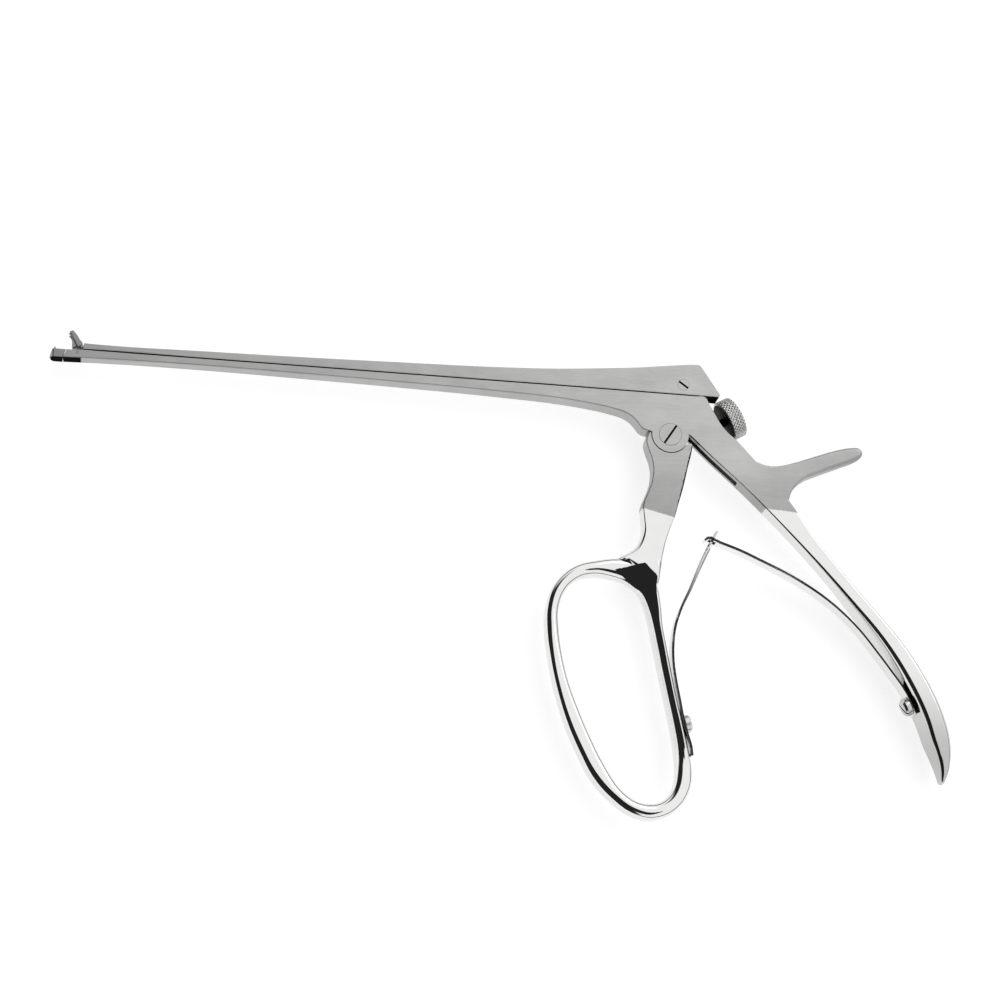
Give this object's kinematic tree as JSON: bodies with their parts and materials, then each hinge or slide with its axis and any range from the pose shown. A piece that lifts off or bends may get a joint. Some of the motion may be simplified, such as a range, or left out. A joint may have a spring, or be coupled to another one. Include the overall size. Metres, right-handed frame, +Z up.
{
  "type": "punch forceps",
  "caption": "Slide-shaft punch forceps with hinged biting jaw, finger ring lever, thumb spur, leaf springs and knurled stop screw.",
  "frame": {"origin": "middle of the footprint, on the surface that the forceps lies on", "axes": "+X along the shaft from the jaws towards the handle, +Y from the ring towards the shaft, +Z up from the surface"},
  "size_m": [0.2924, 0.151, 0.0141],
  "materials": {
    "satin_steel": "satin",
    "spring_steel": "polished",
    "knurled_steel": "knurled satin",
    "pin_steel": "ground"
  },
  "bodies": {
    "body": {"frame": "satin_steel", "lower_jaw": "satin_steel", "jaw_pivot_pin": "pin_steel", "pivot_screw": "satin_steel", "rear_leaf_spring": "spring_steel", "rear_spring_screw": "pin_steel"},
    "lever": {"finger_lever": "satin_steel", "front_leaf_spring": "spring_steel", "front_spring_screw": "pin_steel"},
    "slide": {"slide_bar": "satin_steel", "link_screw": "pin_steel", "jaw_drive_pin": "pin_steel"},
    "jaw": {"upper_jaw": "satin_steel"},
    "stop": {"stop_screw": "knurled_steel"}
  },
  "joints": [
    {"name": "lever_squeeze", "type": "hinge", "parent": "body", "child": "lever", "pos_m": [0.05395, 0.05072, 0.00703], "axis": [0, 0, 1], "range_deg": [0, 8.6], "stiffness_Nm_per_rad": 0.6, "springref_deg": -14.32, "deforming": ["front_leaf_spring", "rear_leaf_spring"]},
    {"name": "slide_travel", "type": "slide", "parent": "body", "child": "slide", "axis": [-1, 0, 0], "range_m": [0, 0.00266]},
    {"name": "jaw_bite", "type": "hinge", "parent": "body", "child": "jaw", "pos_m": [-0.13755, 0.06332, 0.00703], "axis": [0, 0, 1], "range_deg": [0, 60.32]},
    {"name": "stop_turn", "type": "hinge", "parent": "body", "child": "stop", "pos_m": [0.07455, 0.05872, 0.00703], "axis": [0.8572, 0.515, 0], "range_deg": [-720, 720]}
  ],
  "couplings": [
    {"joint": "slide_travel", "follows": "lever_squeeze", "m_per_rad": 0.017743},
    {"joint": "jaw_bite", "follows": "lever_squeeze", "ratio": 7.0149}
  ]
}
